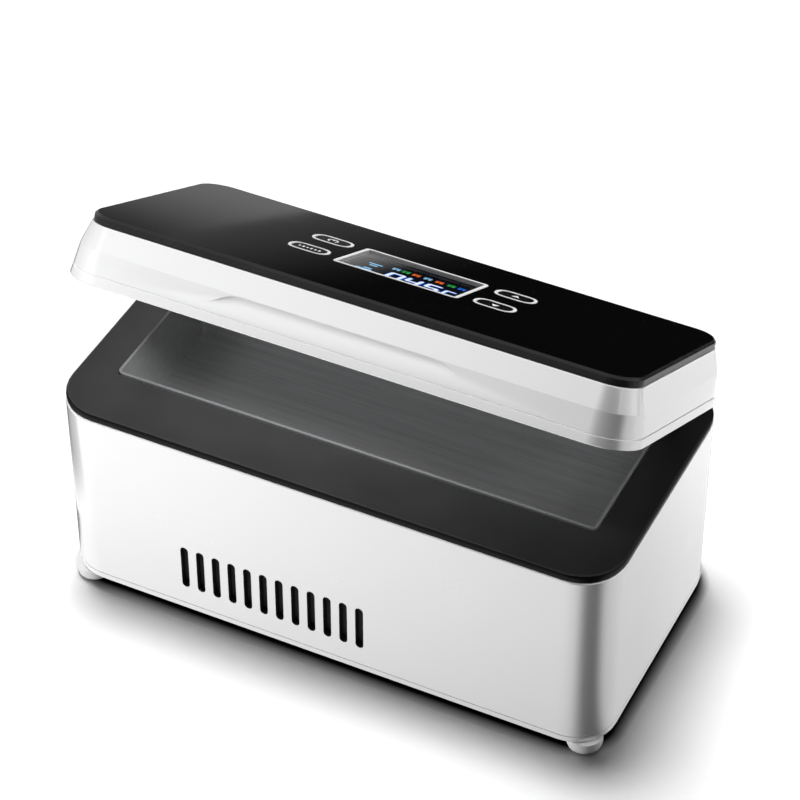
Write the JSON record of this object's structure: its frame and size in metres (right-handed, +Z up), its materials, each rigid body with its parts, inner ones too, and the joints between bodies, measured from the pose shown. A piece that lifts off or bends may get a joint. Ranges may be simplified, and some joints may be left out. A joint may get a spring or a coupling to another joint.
{
  "type": "insulin cooling case",
  "caption": "Portable cooling case for insulin pens: a white box with a black deck round an open cold chamber, under a hinged lid with a display and push keys.",
  "frame": {"origin": "on the floor under the middle of the bounding box, with the lid standing open as at rest", "axes": "+X to the right-hand end, +Y to the hinge side, +Z up"},
  "size_m": [0.212, 0.1106, 0.1528],
  "materials": {
    "white_plastic": "gloss",
    "black_plastic": "satin",
    "black_gloss": "polished",
    "smoked_lens": "polished",
    "display_face": "gloss",
    "white_inlay": "satin",
    "brushed_aluminium": "satin",
    "black_anodised": "satin",
    "bright_steel": "satin",
    "insulating_foam": "matte",
    "foot_rubber": "satin",
    "gasket_rubber": "matte",
    "white_ceramic": "matte",
    "circuit_board": "satin",
    "battery_sleeve": "gloss"
  },
  "bodies": {
    "base": {"lower_shell": "white_plastic", "bottom_cover": "white_plastic", "deck_plate": "black_plastic", "chamber_liner": "brushed_aluminium", "insulation_jacket": "insulating_foam", "temperature_sensor": "bright_steel", "cold_block": "brushed_aluminium", "peltier_module": "white_ceramic", "heat_sink": "black_anodised", "fan_frame": "black_plastic", "battery_pack": "battery_sleeve", "main_board": "circuit_board", "power_inlet": "black_plastic", "foot_front_left": "foot_rubber", "cover_screw_front_left": "bright_steel", "foot_front_right": "foot_rubber", "cover_screw_front_right": "bright_steel", "foot_back_left": "foot_rubber", "cover_screw_back_left": "bright_steel", "foot_back_right": "foot_rubber", "cover_screw_back_right": "bright_steel", "hinge_bracket_left": "black_plastic", "hinge_pin_left": "bright_steel", "base_magnet_left": "bright_steel", "hinge_bracket_right": "black_plastic", "hinge_pin_right": "bright_steel", "base_magnet_right": "bright_steel"},
    "lid": {"lid_shell": "white_plastic", "lid_plate": "white_plastic", "lid_gasket": "gasket_rubber", "lid_insulation": "insulating_foam", "top_panel": "black_gloss", "display_window": "smoked_lens", "lcd_module": "display_face", "control_board": "circuit_board", "display_frame": "white_inlay", "key_ring_front_left": "white_inlay", "key_ring_back_left": "white_inlay", "key_ring_front_right": "white_inlay", "key_ring_back_right": "white_inlay", "lid_magnet_left": "bright_steel", "lid_magnet_right": "bright_steel"},
    "fan_rotor": {"fan_rotor": "black_plastic"},
    "key_front_left": {"key_cap_front_left": "black_gloss"},
    "key_back_left": {"key_cap_back_left": "black_gloss"},
    "key_front_right": {"key_cap_front_right": "black_gloss"},
    "key_back_right": {"key_cap_back_right": "black_gloss"}
  },
  "joints": [
    {"name": "lid_hinge", "type": "hinge", "parent": "base", "child": "lid", "pos_m": [0, 0.04738, 0.0897], "axis": [-1, 0, 0], "range_deg": [-28.3, 66.7]},
    {"name": "fan_spin", "type": "hinge", "parent": "base", "child": "fan_rotor", "pos_m": [-0.02014, -0.00202, 0.0147], "axis": [0, 0, 1], "continuous": true},
    {"name": "key_front_left_press", "type": "slide", "parent": "lid", "child": "key_front_left", "axis": [0, -0.4741, -0.8805], "range_m": [0, 0.0005], "stiffness_N_per_m": 500, "springref_m": -0.0005},
    {"name": "key_back_left_press", "type": "slide", "parent": "lid", "child": "key_back_left", "axis": [0, -0.4741, -0.8805], "range_m": [0, 0.0005], "stiffness_N_per_m": 500, "springref_m": -0.0005},
    {"name": "key_front_right_press", "type": "slide", "parent": "lid", "child": "key_front_right", "axis": [0, -0.4741, -0.8805], "range_m": [0, 0.0005], "stiffness_N_per_m": 500, "springref_m": -0.0005},
    {"name": "key_back_right_press", "type": "slide", "parent": "lid", "child": "key_back_right", "axis": [0, -0.4741, -0.8805], "range_m": [0, 0.0005], "stiffness_N_per_m": 500, "springref_m": -0.0005}
  ]
}
